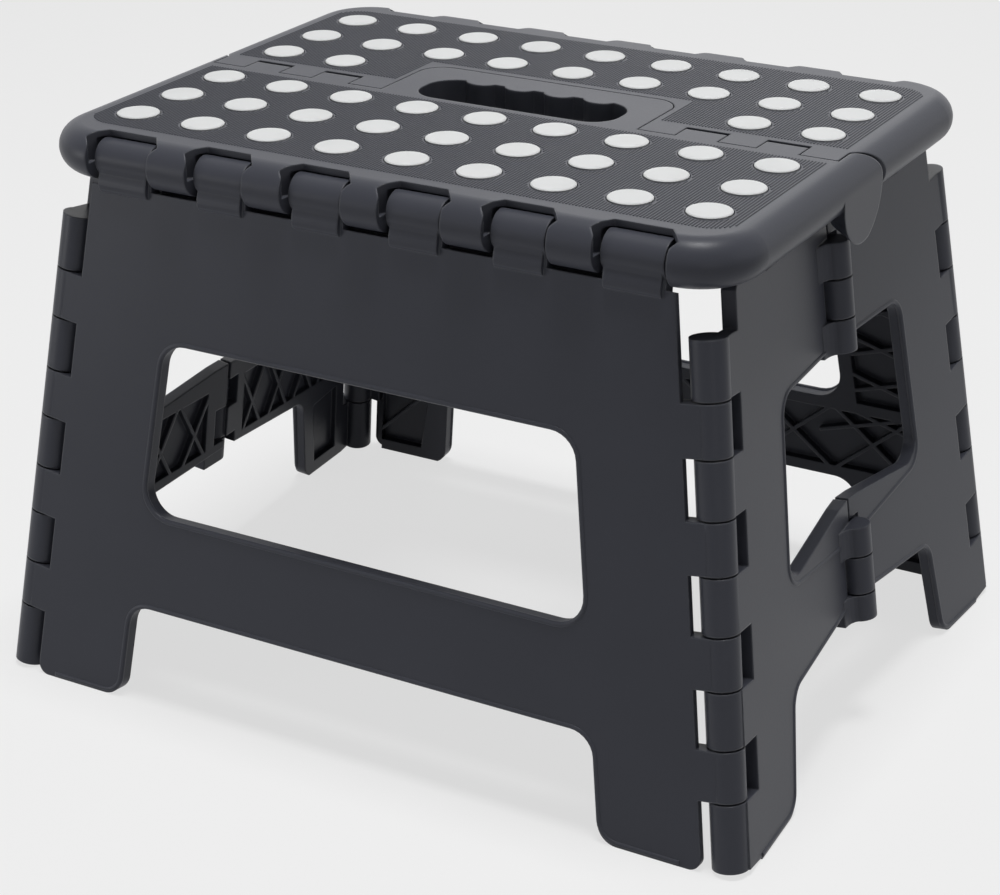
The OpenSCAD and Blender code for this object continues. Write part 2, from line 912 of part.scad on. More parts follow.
module rear_left_corner_pin() {
  mirror([1, 0, 0])
    rear_right_corner_pin();
}

module right_mid_pins() {
  color(pin_colour)
    for (rows = [mid_rows, low_rows])
      rod(mid_at(rows[2][1] - 2), mid_at(rows[0][0] + 3), pin_radius);
}

module left_mid_pins() {
  mirror([1, 0, 0])
    right_mid_pins();
}

leg_front();
leg_rear();
seat_front();
seat_rear();
left_end_front();
left_end_rear();
right_end_front();
right_end_rear();
seat_front_dots();
seat_rear_dots();
front_edge_pin();
rear_edge_pin();
centre_pin_left();
centre_pin_right();
front_left_corner_pin();
front_right_corner_pin();
rear_left_corner_pin();
rear_right_corner_pin();
left_mid_pins();
right_mid_pins();
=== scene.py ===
"""Folding stool: finishes, moulded surface details, lights and camera over the CAD frame.

Sizes are in metres, in the CAD frame: X along the seat, Y from front to rear, Z up from the floor. Only
the corners of the openings and the camera's lens and sensor are in millimetres.
"""

import logging
import math
from collections.abc import Callable
from dataclasses import dataclass, field
from enum import Enum
from functools import partial
from typing import Any, NamedTuple

import bpy
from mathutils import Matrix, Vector


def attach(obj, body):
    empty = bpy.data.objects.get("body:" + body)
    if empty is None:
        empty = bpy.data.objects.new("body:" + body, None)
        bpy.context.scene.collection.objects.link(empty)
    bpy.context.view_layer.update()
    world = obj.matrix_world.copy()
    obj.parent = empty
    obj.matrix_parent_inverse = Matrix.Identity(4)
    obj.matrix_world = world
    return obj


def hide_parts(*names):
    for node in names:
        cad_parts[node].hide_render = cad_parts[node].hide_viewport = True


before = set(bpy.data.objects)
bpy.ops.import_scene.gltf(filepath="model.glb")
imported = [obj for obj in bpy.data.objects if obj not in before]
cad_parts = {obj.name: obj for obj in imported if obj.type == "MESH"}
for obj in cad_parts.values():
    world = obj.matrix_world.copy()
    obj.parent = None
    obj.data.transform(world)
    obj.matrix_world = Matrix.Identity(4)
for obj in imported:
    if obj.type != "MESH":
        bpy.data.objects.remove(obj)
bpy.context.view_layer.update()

log = logging.getLogger("stool")

MM = 0.001
STOOL_HEIGHT = 0.22
NOISE_MIDDLE = 0.5
WHITE = (1.0, 1.0, 1.0, 1.0)

Colour = tuple[float, float, float]
Place = tuple[float, float, float]


# Shader and geometry graphs


class Value:
    """A node output that adds Math nodes when it stands in an expression."""

    def __init__(self, graph: "Graph", socket: bpy.types.NodeSocket) -> None:
        """Keeps the graph and the socket."""
        self.graph = graph
        self.socket = socket

    def _do(self, operation: str, *terms: Any) -> "Value":
        """Adds one Math node.

        Args:
            operation: the Math node's operation.
            terms: values or numbers, in the node's order.

        Returns:
            The node's output.
        """
        return self.graph.make("ShaderNodeMath", {"operation": operation}, dict(enumerate(terms)))

    def __add__(self, other: Any) -> "Value":
        """Sum."""
        return self._do("ADD", self, other)

    def __radd__(self, other: Any) -> "Value":
        """Sum, reflected."""
        return self._do("ADD", other, self)

    def __sub__(self, other: Any) -> "Value":
        """Difference."""
        return self._do("SUBTRACT", self, other)

    def __rsub__(self, other: Any) -> "Value":
        """Difference, reflected."""
        return self._do("SUBTRACT", other, self)

    def __mul__(self, other: Any) -> "Value":
        """Product."""
        return self._do("MULTIPLY", self, other)

    def __rmul__(self, other: Any) -> "Value":
        """Product, reflected."""
        return self._do("MULTIPLY", other, self)

    def __truediv__(self, other: Any) -> "Value":
        """Quotient."""
        return self._do("DIVIDE", self, other)

    def __pow__(self, other: Any) -> "Value":
        """Power."""
        return self._do("POWER", self, other)

    def clamp(self) -> "Value":
        """Keeps the value between 0 and 1."""
        return self.lowest(1.0).highest(0.0)

    def absolute(self) -> "Value":
        """Drops the sign."""
        return self._do("ABSOLUTE", self)

    def root(self) -> "Value":
        """Square root of the value, or of 0 where it is below 0."""
        return self._do("SQRT", self.highest(0.0))

    def nearest(self) -> "Value":
        """Rounds to the nearest whole number."""
        return self._do("ROUND", self)

    def floor(self) -> "Value":
        """Rounds down to a whole number."""
        return self._do("FLOOR", self)

    def below(self, limit: Any) -> "Value":
        """1 where the value is under the limit, else 0."""
        return self._do("LESS_THAN", self, limit)

    def above(self, limit: Any) -> "Value":
        """1 where the value is over the limit, else 0."""
        return self._do("GREATER_THAN", self, limit)

    def highest(self, other: Any) -> "Value":
        """The higher of two values."""
        return self._do("MAXIMUM", self, other)

    def lowest(self, other: Any) -> "Value":
        """The lower of two values."""
        return self._do("MINIMUM", self, other)


class Graph:
    """A node tree that is built one node at a time."""

    def __init__(self, tree: bpy.types.NodeTree) -> None:
        """Keeps the tree."""
        self.tree = tree

    def make(
        self,
        kind: str,
        settings: dict[str, Any] | None = None,
        inputs: dict[Any, Any] | None = None,
        output: int | str = 0,
    ) -> Value:
        """Adds a node.

        Args:
            kind: the node's type.
            settings: the node's properties, set first.
            inputs: socket name or number to a value, a colour or another node's output.
            output: name or number of the output that is returned.

        Returns:
            The chosen output; its node is result.socket.node.
        """
        node = self.tree.nodes.new(kind)
        for name, setting in (settings or {}).items():
            setattr(node, name, setting)
        for name, value in (inputs or {}).items():
            self._feed(node.inputs[name], value)
        if isinstance(output, str):
            return Value(self, node.outputs[output])
        enabled = [socket for socket in node.outputs if socket.enabled]
        return Value(self, enabled[output] if enabled else None)

    def _feed(self, socket: bpy.types.NodeSocket, value: Any) -> None:
        """Links an output to a socket, or sets the socket to a plain value.

        Args:
            socket: the socket that takes it.
            value: another node's output, a number, a colour or a data block.
        """
        if isinstance(value, Value):
            self.tree.links.new(value.socket, socket)
        else:
            socket.default_value = value

    def mix(self, factor: Any, first: Any, second: Any) -> Value:
        """Mixes two colours.

        Args:
            factor: share of the second colour.
            first: colour at factor 0.
            second: colour at factor 1.

        Returns:
            The mixed colour.
        """
        node = self.make("ShaderNodeMix", {"data_type": "RGBA"}).socket.node
        sockets = {socket.identifier: socket for socket in node.inputs}
        for name, value in (("Factor_Float", factor), ("A_Color", first), ("B_Color", second)):
            self._feed(sockets[name], value)
        results = {socket.identifier: socket for socket in node.outputs}
        return Value(self, results["Result_Color"])

    def noise(self, place: Value, scale: float, detail: float) -> Value:
        """Grey level of a noise at a place; scale is its spots to a metre."""
        return self.make("ShaderNodeTexNoise", None, {"Vector": place, "Scale": scale, "Detail": detail})

    def vector(self, x: Any, y: Any, z: Any) -> Value:
        """Joins three values to a vector."""
        return self.make("ShaderNodeCombineXYZ", None, {"X": x, "Y": y, "Z": z})


def empty_graph(owner: bpy.types.Material | bpy.types.World) -> Graph:
    """Clears the nodes of a material or a world.

    Args:
        owner: the material or world.

    Returns:
        Its graph, without nodes.
    """
    owner.use_nodes = True
    owner.node_tree.nodes.clear()
    return Graph(owner.node_tree)


def opaque(colour: Colour, share: float = 1.0) -> tuple[float, ...]:
    """Brightens or dims a colour and gives it full alpha."""
    return tuple(share * part for part in colour) + (1.0,)


# Finishes


@dataclass(frozen=True)
class MouldedPlastic:
    """Satin injection-moulded plastic with an eroded grain and rounded edges, painted paler: partly rubbed
    wear, partly painted highlight.

    Sizes are in metres, scales in spots to a metre, and colours are linear.
    """

    name: str
    colour: Colour = (0.056, 0.059, 0.074)
    # Paler colour of the edges: partly rubbed wear, partly painted highlight where rounded edges catch the
    # light.
    rubbed_highlight_colour: Colour = (0.165, 0.170, 0.190)
    roughness: float = 0.37
    roughness_swing: float = 0.08
    gloss: float = 0.17
    grain_size: float = 0.0007
    grain_depth: float = 0.00004
    grain_strength: float = 0.6
    edge_radius: float = 0.0010
    edge_samples: int = 6
    edge_gain: float = 5.0
    # Share of the paler edge colour: partly wear, partly painted highlight.
    edge_wear_and_highlight: float = 0.75
    scuff_scale: float = 160.0
    scuff_gain: float = 1.3
    flow_scale: float = 22.0
    flow_low: float = 0.4
    flow_gain: float = 2.5
    flow_contrast: float = 0.3
    flow_pale: float = 1.2

    def build(self) -> bpy.types.Material:
        """Makes the material.

        Returns:
            The finished material.
        """
        material = bpy.data.materials.new(self.name)
        graph = empty_graph(material)
        place = graph.make("ShaderNodeTexCoord", output="Object")
        grain = graph.noise(place, 1 / self.grain_size, 2.0)
        flow = graph.noise(place, self.flow_scale, 3.0)
        scuffs = graph.noise(place, self.scuff_scale, 4.0)
        soft = graph.make("ShaderNodeBevel", {"samples": self.edge_samples}, {"Radius": self.edge_radius})
        flat = graph.make("ShaderNodeNewGeometry", output="Normal")
        turned = graph.make(
            "ShaderNodeVectorMath", {"operation": "DOT_PRODUCT"}, {0: soft, 1: flat}, "Value"
        )
        # Edge mask, broken up by scuff noise: rounded edges are painted paler, partly as rubbed wear and
        # partly as painted highlight.
        edge = ((1.0 - turned) * self.edge_gain).clamp() * (scuffs * self.scuff_gain).clamp()
        bump = {
            "Strength": self.grain_strength,
            "Distance": self.grain_depth,
            "Height": grain,
            "Normal": soft,
        }
        streaks = ((flow - self.flow_low) * self.flow_gain).clamp() * self.flow_contrast
        ground = graph.mix(streaks, opaque(self.colour), opaque(self.colour, self.flow_pale))
        swing = self.roughness_swing
        uneven = (flow - NOISE_MIDDLE) * swing + (grain - NOISE_MIDDLE) * swing - edge * swing
        shader = graph.make(
            "ShaderNodeBsdfPrincipled",
            None,
            {
                "Base Color": graph.mix(edge * self.edge_wear_and_highlight, ground, opaque(self.rubbed_highlight_colour)),
                "Roughness": (uneven + self.roughness).clamp(),
                "Normal": graph.make("ShaderNodeBump", None, bump),
                "Specular IOR Level": self.gloss,
            },
        )
        graph.make("ShaderNodeOutputMaterial", None, {"Surface": shader})
        return material


@dataclass(frozen=True)
class DotRubber:
    """White anti-slip rubber of the dots, with a fine matt grain and a little soil.

    Sizes are in metres, scales in spots to a metre, and colours are linear.
    """

    name: str = "dot_rubber"
    colour: Colour = (0.77, 0.78, 0.78)
    soiled: float = 0.9
    soil_scale: float = 60.0
    soil_gain: float = 2.0
    roughness: float = 0.6
    roughness_swing: float = 0.2
    gloss: float = 0.3
    grain_scale: float = 1500.0
    grain_depth: float = 0.00005
    grain_strength: float = 0.4

    def build(self) -> bpy.types.Material:
        """Makes the material.

        Returns:
            The finished material.
        """
        material = bpy.data.materials.new(self.name)
        graph = empty_graph(material)
        place = graph.make("ShaderNodeTexCoord", output="Object")
        grain = graph.noise(place, self.grain_scale, 2.0)
        soil = graph.noise(place, self.soil_scale, 4.0)
        stain = ((soil - NOISE_MIDDLE) * self.soil_gain).clamp()
        bump = {"Strength": self.grain_strength, "Distance": self.grain_depth, "Height": grain}
        shader = graph.make(
            "ShaderNodeBsdfPrincipled",
            None,
            {
                "Base Color": graph.mix(stain, opaque(self.colour), opaque(self.colour, self.soiled)),
                "Roughness": (grain - NOISE_MIDDLE) * self.roughness_swing + self.roughness,
                "Normal": graph.make("ShaderNodeBump", None, bump),
                "Specular IOR Level": self.gloss,
            },
        )
        graph.make("ShaderNodeOutputMaterial", None, {"Surface": shader})
        return material


@dataclass(frozen=True)
class PinSteel:
    """Drawn steel of the hinge pins, with an uneven sheen."""

    name: str = "pin_steel"
    colour: Colour = (0.5, 0.5, 0.5)
    roughness: float = 0.35
    roughness_swing: float = 0.3
    sheen_scale: float = 900.0

    def build(self) -> bpy.types.Material:
        """Makes the material.

        Returns:
            The finished material.
        """
        material = bpy.data.materials.new(self.name)
        graph = empty_graph(material)
        place = graph.make("ShaderNodeTexCoord", output="Object")
        sheen = graph.noise(place, self.sheen_scale, 3.0)
        shader = graph.make(
            "ShaderNodeBsdfPrincipled",
            None,
            {
                "Base Color": opaque(self.colour),
                "Metallic": 1.0,
                "Roughness": (sheen - NOISE_MIDDLE) * self.roughness_swing + self.roughness,
            },
        )
        graph.make("ShaderNodeOutputMaterial", None, {"Surface": shader})
        return material


# Shapes made by geometry nodes


class Side(Enum):
    """The two halves of the stool; the value is the sign of Y."""

    FRONT = -1
    REAR = 1


class Hand(Enum):
    """The two ends of the stool; the value is the sign of X."""

    LEFT = -1
    RIGHT = 1


class ShapeTree:
    """A geometry node tree with named inputs, baked to one plain mesh for each piece."""

    def __init__(self, name: str, sizes: dict[str, float]) -> None:
        """Makes the tree.

        Args:
            name: the tree's name.
            sizes: name to value of each input.
        """
        self.tree = bpy.data.node_groups.new(name, "GeometryNodeTree")
        interface = self.tree.interface
        for direction in ("INPUT", "OUTPUT"):
            interface.new_socket("Geometry", in_out=direction, socket_type="NodeSocketGeometry")
        for label, size in sizes.items():
            socket = interface.new_socket(label, in_out="INPUT", socket_type="NodeSocketFloat")
            socket.default_value = size
        self.graph = Graph(self.tree)
        self.entry = self.graph.make("NodeGroupInput").socket.node

    def size(self, label: str) -> Value:
        """The named input as a value."""
        return Value(self.graph, self.entry.outputs[label])

    def close(self, geometry: Value, material: bpy.types.Material) -> None:
        """Ends the tree.

        Args:
            geometry: what the tree makes.
            material: its finish.
        """
        real = self.graph.make("GeometryNodeRealizeInstances", None, {"Geometry": geometry})
        dressed = self.graph.make("GeometryNodeSetMaterial", None, {"Geometry": real, "Material": material})
        self.graph.make("NodeGroupOutput", None, {"Geometry": dressed})

    def bake(
        self, name: str, sizes: dict[str, float], start: bpy.types.Mesh | None = None
    ) -> bpy.types.Object:
        """Runs the tree once and keeps the result as a plain mesh.

        Args:
            name: the piece's name.
            sizes: input name to value, where it differs from the default.
            start: mesh that enters the tree.

        Returns:
            The piece, at the origin, without modifiers.
        """
        carrier = bpy.data.objects.new(name + "_carrier", start or bpy.data.meshes.new(name + "_start"))
        bpy.context.scene.collection.objects.link(carrier)
        modifier = carrier.modifiers.new("shape", "NODES")
        modifier.node_group = self.tree
        sockets = (item for item in self.tree.interface.items_tree if item.in_out == "INPUT")
        keys = {socket.name: socket.identifier for socket in sockets}
        for label, size in sizes.items():
            modifier[keys[label]] = float(size)
        evaluated = carrier.evaluated_get(bpy.context.evaluated_depsgraph_get())
        mesh = bpy.data.meshes.new_from_object(evaluated)
        mesh.name = name
        carrier.modifiers.remove(modifier)
        bpy.data.objects.remove(carrier)
        piece = bpy.data.objects.new(name, mesh)
        bpy.context.scene.collection.objects.link(piece)
        return piece


@dataclass(frozen=True)
class DotGrid:
    """Places of the dots on a seat half, measured from the centre hinge and the stool's middle.

    Sizes are in metres.
    """

    first_row: float = 0.0207
    row_pitch: float = 0.0275
    column_pitch: float = 0.02913
    rows: int = 3
    columns: int = 9
    tongue_gap_half: float = 0.073

    @property
    def last_column(self) -> float:
        """Number of the outermost column, counted from the middle one."""
        return (self.columns - 1) / 2

    def short_row_half(self, side: Side) -> float:
        """Half width of the first row's stretch without dots, which only the rear half has."""
        return self.tongue_gap_half if side is Side.REAR else 0.0


@dataclass
class SeatRidges:
    """Fine anti-slip ridges of a seat half, which stop in front of each dot.

    Sizes are in metres. A ridge's half width and height are taken from its axis, which lies at level; inner,
    tongue_end and outer are distances from the centre hinge.
    """

    grid: DotGrid = DotGrid()
    pitch: float = 0.00125
    half_width: float = 0.00038
    height: float = 0.00028
    level: float = 0.2192
    shortest: float = 0.0012
    half_length: float = 0.1312
    inner: float = 0.0095
    tongue_half: float = 0.0572
    tongue_end: float = 0.0375
    outer: float = 0.0912
    corner: float = 0.012
    dot_space: float = 0.0091
    tree: ShapeTree = field(init=False)

    def __post_init__(self) -> None:
        """Makes the tree that both halves share."""
        self.tree = ShapeTree(
            "seat_ridges",
            {
                "Side": float(Side.FRONT.value),
                "Pitch": self.pitch,
                "Half width": self.half_width,
                "Height": self.height,
                "Tongue half": 0.0,
                "Short row half": 0.0,
                "Dot space": self.dot_space,
            },
        )

    def build(self, material: bpy.types.Material) -> None:
        """Makes the ridges of both halves.

        Args:
            material: their finish.
        """
        self._grow(material)
        for side in Side:
            half = side.name.lower()
            sizes = {
                "Side": side.value,
                "Tongue half": self.tongue_half if side is Side.REAR else 0.0,
                "Short row half": self.grid.short_row_half(side),
            }
            piece = self.tree.bake(f"seat_{half}_ridges", sizes)
            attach(piece, f"seat_{half}")
            log.info("made %s with %d faces", piece.name, len(piece.data.polygons))

    def _grow(self, material: bpy.types.Material) -> None:
        """Fills the tree: one stretched diamond bar for each ridge and each space between rows.

        Args:
            material: the ridges' finish.
        """
        tree, graph = self.tree, self.tree.graph
        spaces = self.grid.rows + 1
        lines = 2 * int(self.half_length / self.pitch) + 1
        points = graph.make("GeometryNodeMeshLine", None, {"Count": lines * spaces})
        index = graph.make("GeometryNodeInputIndex")
        line = (index / float(spaces)).floor()
        space = index - line * float(spaces)
        x = (line - (lines - 1) / 2) * tree.size("Pitch")
        start, end = self._span(x, space)
        length = end - start
        middle = (start + end) * 0.5 * tree.size("Side")
        placed = graph.make(
            "GeometryNodeSetPosition",
            None,
            {"Geometry": points, "Position": graph.vector(x, middle, self.level)},
        )
        bar = graph.make("GeometryNodeMeshCylinder", None, {"Vertices": 4, "Radius": 1.0, "Depth": 1.0})
        laid = graph.make(
            "GeometryNodeTransform", None, {"Geometry": bar, "Rotation": (math.pi / 2, 0.0, 0.0)}
        )
        ridges = graph.make(
            "GeometryNodeInstanceOnPoints",
            None,
            {
                "Points": placed,
                "Selection": length.above(self.shortest),
                "Instance": laid,
                "Scale": graph.vector(tree.size("Half width"), length, tree.size("Height")),
            },
        )
        tree.close(ridges, material)

    def _span(self, x: Value, space: Value) -> tuple[Value, Value]:
        """Works out the ends of a ridge between two rows of dots.

        Args:
            x: the ridge's place along the seat.
            space: number of the space between rows, 0 beside the centre hinge.

        Returns:
            The ridge's start and end, as distances from the centre hinge.
        """
        tree, grid = self.tree, self.grid
        reach = x.absolute()
        column = (x / grid.column_pitch).nearest().highest(-grid.last_column).lowest(grid.last_column)
        aside = x - column * grid.column_pitch
        cut = (tree.size("Dot space") * tree.size("Dot space") - aside * aside).root()
        bare = reach.below(tree.size("Short row half"))
        first_cut = cut * (1.0 - bare)
        inner = reach.below(tree.size("Tongue half")) * (self.tongue_end - self.inner) + self.inner
        bend = (reach - (self.half_length - self.corner)).highest(0.0)
        outer = (self.corner**2 - bend * bend).root() + (self.outer - self.corner)
        at_hinge = space.below(0.5)
        at_rim = space.above(grid.rows - 0.5)
        past_first_row = space.below(1.5)
        start_cut = cut + past_first_row * (first_cut - cut)
        end_cut = cut + at_hinge * (first_cut - cut)
        start = ((space - 1.0) * grid.row_pitch + grid.first_row + start_cut).highest(inner)
        start = start + at_hinge * (inner - start)
        end = (space * grid.row_pitch + grid.first_row) - end_cut
        end = end + at_rim * (outer - end)
        return start, end


@dataclass
class SeatDots:
    """White dots of a seat half: flat discs with a rounded rim and a little crown.

    Sizes are in metres; rim_start is a share of the radius, and least_share the smallest share that is
    divided by.
    """

    grid: DotGrid = DotGrid()
    radius: float = 0.00795
    base: float = 0.21845
    top: float = STOOL_HEIGHT
    rim: float = 0.00035
    rim_start: float = 0.93
    crown: float = 0.0001
    sides: int = 40
    rings: int = 4
    ring_crowding: float = 2.2
    least_share: float = 0.001
    tree: ShapeTree = field(init=False)

    def __post_init__(self) -> None:
        """Makes the tree that both halves share."""
        self.tree = ShapeTree(
            "seat_dots",
            {
                "Side": float(Side.FRONT.value),
                "Radius": self.radius,
                "Rim": self.rim,
                "Crown": self.crown,
                "Short row half": 0.0,
            },
        )

    def build(self, material: bpy.types.Material) -> None:
        """Makes the dots of both halves.

        Args:
            material: their finish.
        """
        self._grow(material)
        for side in Side:
            half = side.name.lower()
            sizes = {"Side": side.value, "Short row half": self.grid.short_row_half(side)}
            piece = self.tree.bake(f"seat_{half}_rubber_dots", sizes)
            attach(piece, f"seat_{half}")
            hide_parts(f"seat_{half}_dots")
            log.info("made %s with %d faces", piece.name, len(piece.data.polygons))

    def _grow(self, material: bpy.types.Material) -> None:
        """Fills the tree: a shaped disc on each place of the grid.

        Args:
            material: the dots' finish.
        """
        tree, graph, grid = self.tree, self.tree.graph, self.grid
        points = graph.make("GeometryNodeMeshLine", None, {"Count": grid.columns * grid.rows})
        index = graph.make("GeometryNodeInputIndex")
        row = (index / float(grid.columns)).floor()
        column = index - row * float(grid.columns) - grid.last_column
        x = column * grid.column_pitch
        y = (row * grid.row_pitch + grid.first_row) * tree.size("Side")
        placed = graph.make(
            "GeometryNodeSetPosition",
            None,
            {"Geometry": points, "Position": graph.vector(x, y, (self.top + self.base) / 2)},
        )
        kept = 1.0 - row.below(0.5) * x.absolute().below(tree.size("Short row half"))
        dots = graph.make(
            "GeometryNodeInstanceOnPoints",
            None,
            {"Points": placed, "Selection": kept.above(0.5), "Instance": self._disc()},
        )
        tree.close(dots, material)

    def _disc(self) -> Value:
        """Shapes one dot round the origin: rings crowd to the rim, which falls away in a curve.

        Returns:
            The dot's mesh.
        """
        tree, graph = self.tree, self.tree.graph
        disc = graph.make(
            "GeometryNodeMeshCylinder",
            None,
            {
                "Vertices": self.sides,
                "Side Segments": 1,
                "Fill Segments": self.rings,
                "Radius": 1.0,
                "Depth": self.top - self.base,
            },
        )
        where = graph.make("GeometryNodeInputPosition")
        parts = graph.make("ShaderNodeSeparateXYZ", None, {"Vector": where}).socket.node
        x, y, z = (Value(graph, parts.outputs[axis]) for axis in "XYZ")
        share = (x * x + y * y).root()
        spread = 1.0 - (1.0 - share).highest(0.0) ** self.ring_crowding
        grow = spread / share.highest(self.least_share) * tree.size("Radius")
        slope = ((spread - self.rim_start) / (1.0 - self.rim_start)).clamp()
        fall = z.above(0.0) * (slope * slope * tree.size("Rim") + spread * spread * tree.size("Crown"))
        return graph.make(
            "GeometryNodeSetPosition",
            None,
            {"Geometry": disc, "Position": graph.vector(x * grow, y * grow, z - fall)},
        )


def rounded_path(corners: list[Vector], radii: list[float], closed: bool, steps: int = 7) -> list[Vector]:
    """Rounds the corners of a path of straight lines.

    Args:
        corners: the path's corners.
        radii: radius at each corner; 0 keeps it.
        closed: whether the last corner runs back to the first.
        steps: spans of each arc.

    Returns:
        Points of the rounded path.
    """
    points: list[Vector] = []
    count = len(corners)
    for i, (corner, radius) in enumerate(zip(corners, radii)):
        if radius == 0 or (not closed and i in (0, count - 1)):
            points.append(corner.copy())
            continue
        before = (corners[i - 1] - corner).normalized()
        after = (corners[(i + 1) % count] - corner).normalized()
        half = before.angle(after) / 2
        centre = corner + (before + after).normalized() * (radius / math.sin(half))
        first = (corner + before * (radius / math.tan(half)) - centre).normalized()
        last = (corner + after * (radius / math.tan(half)) - centre).normalized()
        for step in range(steps + 1):
            points.append(centre + first.slerp(last, step / steps) * radius)
    return points


class Corner(NamedTuple):
    """Corner of an opening: its place along the panel, its depth and its radius, in millimetres."""

    along: float
    depth: float
    radius: float = 0.0


@dataclass
class OpeningBeads:
    """Rounded moulded lips that follow the edges of the windows, cut-outs and arches.

    Sizes are in metres, the corners in millimetres; depths are measured down from the top of the dots.
    A line is the place of a panel's outer face at depth 0; lean and yaw are its slopes with depth and Y.
    """

    radius: float = 0.0011
    sides: int = 10
    sunk: float = 0.0006
    height: float = STOOL_HEIGHT
    leg_line: float = 0.10154
    leg_lean: float = 0.116
    end_line: float = 0.1241
    end_lean: float = 0.133
    end_yaw: float = 0.0563
    leg_window: tuple[Corner, ...] = (
        Corner(-85.9, 73.5, 11.5),
        Corner(85.9, 73.5, 11.5),
        Corner(95.1, 143.5, 11.5),
        Corner(-95.1, 143.5, 11.5),
    )
    leg_arch: tuple[Corner, ...] = (
        Corner(-136.0, 218.6),
        Corner(-105.2, 218.6, 7.8),
        Corner(-100.0, 179.5, 10.5),
        Corner(100.0, 179.5, 10.5),
        Corner(105.2, 218.6, 7.8),
        Corner(136.0, 218.6),
    )
    end_cutout: tuple[Corner, ...] = (
        Corner(1.2, 70.5),
        Corner(55.4, 70.5, 9.5),
        Corner(63.2, 139.5, 9.5),
        Corner(9.0, 146.5, 3.0),
        Corner(1.2, 147.4),
    )
    end_arch: tuple[Corner, ...] = (
        Corner(9.0, 171.2),
        Corner(67.3, 176.1, 9.5),
        Corner(75.6, 218.6, 7.8),
        Corner(108.5, 218.6),
    )
    tree: ShapeTree = field(init=False)

    def __post_init__(self) -> None:
        """Makes the tree that all lips share."""
        self.tree = ShapeTree("opening_beads", {"Radius": self.radius})

    def leg_point(self, x: float, depth: float, side: Side) -> Vector:
        """Finds a point of a lip on the outer face of a leg panel.

        Args:
            x: place along the seat.
            depth: distance below the top of the dots.
            side: front or rear leg.

        Returns:
            The point, sunk into the panel by the lip's bedding.
        """
        lean = math.atan(self.leg_lean)
        y = self.leg_line + self.leg_lean * depth - self.sunk * math.cos(lean)
        return Vector((x, side.value * y, self.height - depth - self.sunk * math.sin(lean)))

    def end_point(self, y: float, depth: float, side: Side, hand: Hand) -> Vector:
        """Point of a lip on the outer face of an end half, sunk by the lip's bedding."""
        x = self.end_line + self.end_yaw * y + self.end_lean * depth - self.sunk
        return Vector((hand.value * x, side.value * y, self.height - depth))

    def build(self, material: bpy.types.Material) -> None:
        """Makes all lips.

        Args:
            material: their finish.
        """
        self._grow(material)
        for side in Side:
            leg = f"leg_{side.name.lower()}"
            on_leg = partial(self.leg_point, side=side)
            self._lip(f"{leg}_window_lip", leg, self.leg_window, on_leg, closed=True)
            self._lip(f"{leg}_arch_lip", leg, self.leg_arch, on_leg)
            for hand in Hand:
                end = f"{hand.name.lower()}_end_{side.name.lower()}"
                on_end = partial(self.end_point, side=side, hand=hand)
                self._lip(f"{end}_cutout_lip", end, self.end_cutout, on_end)
                self._lip(f"{end}_arch_lip", end, self.end_arch, on_end)

    def _lip(
        self,
        name: str,
        body: str,
        corners: tuple[Corner, ...],
        on_face: Callable[[float, float], Vector],
        closed: bool = False,
    ) -> None:
        """Sweeps one lip along the edge of an opening.

        Args:
            name: the piece's name.
            body: the body that carries it.
            corners: the opening's corners.
            on_face: turns a place along the panel and a depth into a point on it.
            closed: whether the edge runs back to its start.
        """
        places = [on_face(corner.along * MM, corner.depth * MM) for corner in corners]
        points = rounded_path(places, [corner.radius * MM for corner in corners], closed)
        edges = [(i, i + 1) for i in range(len(points) - 1)]
        if closed:
            edges.append((len(points) - 1, 0))
        mesh = bpy.data.meshes.new(name + "_path")
        mesh.from_pydata([tuple(point) for point in points], edges, [])
        piece = self.tree.bake(name, {"Radius": self.radius}, mesh)
        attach(piece, body)
        log.info("made %s with %d faces", name, len(piece.data.polygons))

    def _grow(self, material: bpy.types.Material) -> None:
        """Fills the tree: a round bar swept along the path that enters it.

        Args:
            material: the lips' finish.
        """
        tree, graph = self.tree, self.tree.graph
        path = graph.make("GeometryNodeMeshToCurve", None, {"Mesh": tree.size("Geometry")})
        bar = graph.make(
            "GeometryNodeCurvePrimitiveCircle",
            None,
            {"Resolution": self.sides, "Radius": tree.size("Radius")},
        )
        swept = graph.make(
            "GeometryNodeCurveToMesh", None, {"Curve": path, "Profile Curve": bar, "Fill Caps": True}
        )
        smooth = graph.make("GeometryNodeSetShadeSmooth", None, {"Geometry": swept})
        tree.close(smooth, material)


# Studio


@dataclass(frozen=True)
class Lamp:
    """A square soft lamp; aim is the point that it faces, size its side and power is in watts."""

    name: str
    place: Place
    aim: Place
    size: float
    power: float

    def build(self) -> None:
        """Hangs the lamp."""
        data = bpy.data.lights.new(self.name, "AREA")
        data.shape = "SQUARE"
        data.size = self.size
        data.energy = self.power
        lamp = bpy.data.objects.new(self.name, data)
        lamp.location = self.place
        lamp.rotation_euler = (Vector(self.aim) - Vector(self.place)).to_track_quat("-Z", "Y").to_euler()
        bpy.context.scene.collection.objects.link(lamp)


def shown_rays(graph: Graph) -> Value:
    """Picks the rays that show a surface: straight, in a reflection or through glass.

    Args:
        graph: the graph of the surface's material or of the world.

    Returns:
        1 for such a ray, else 0.
    """
    ray = graph.make("ShaderNodeLightPath").socket.node
    camera = Value(graph, ray.outputs["Is Camera Ray"])
    glossy = Value(graph, ray.outputs["Is Glossy Ray"])
    through = Value(graph, ray.outputs["Is Transmission Ray"])
    return (camera + glossy + through).clamp()


